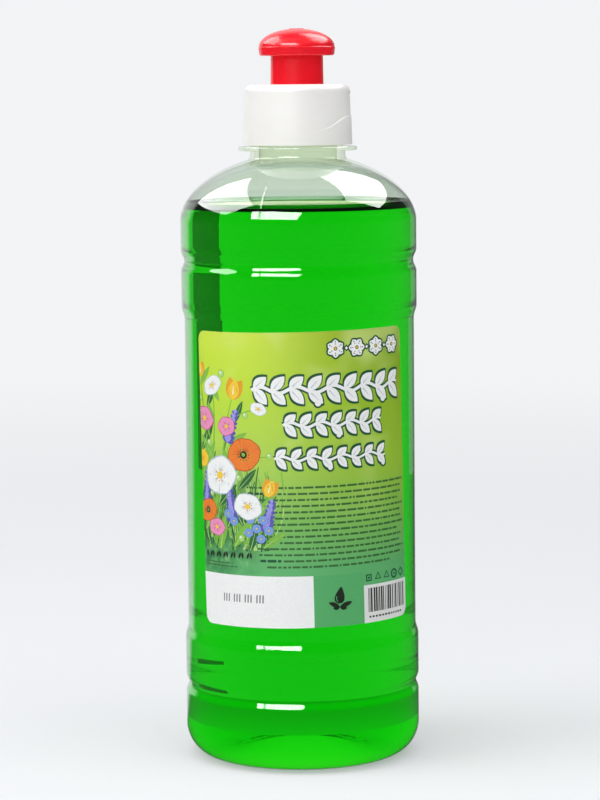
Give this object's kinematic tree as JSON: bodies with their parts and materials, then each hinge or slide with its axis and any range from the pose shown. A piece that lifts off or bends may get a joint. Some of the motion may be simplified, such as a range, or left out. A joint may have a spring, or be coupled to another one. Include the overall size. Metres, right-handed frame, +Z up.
{
  "type": "liquid soap bottle",
  "caption": "Clear round bottle of green liquid soap with a front label, a white screw closure and a red push-pull spout.",
  "frame": {"origin": "on the bottle's axis at the standing plane", "axes": "+Z up along the bottle's axis; the label faces -Y"},
  "size_m": [0.066, 0.066, 0.2039],
  "materials": {
    "clear_plastic": "gloss",
    "green_soap": "gloss",
    "printed_film": "satin",
    "foam": "matte",
    "white_plastic": "satin",
    "red_plastic": "gloss"
  },
  "bodies": {
    "bottle": {"bottle": "clear_plastic", "liquid_soap": "green_soap", "label": "printed_film"},
    "seal": {"neck_seal": "foam"},
    "closure": {"cap_base": "white_plastic"},
    "spout": {"spout": "red_plastic"}
  },
  "joints": [
    {"name": "cap_lift", "type": "slide", "parent": "bottle", "child": "seal", "axis": [0, 0, 1], "range_m": [0, 0.00477]},
    {"name": "cap_turn", "type": "hinge", "parent": "seal", "child": "closure", "pos_m": [0, 0, 0.18], "axis": [0, 0, 1], "range_deg": [0, 540]},
    {"name": "spout_pull", "type": "slide", "parent": "closure", "child": "spout", "axis": [0, 0, 1], "range_m": [0, 0.006]}
  ],
  "couplings": [
    {"joint": "cap_lift", "follows": "cap_turn", "m_per_rad": 0.000506}
  ]
}
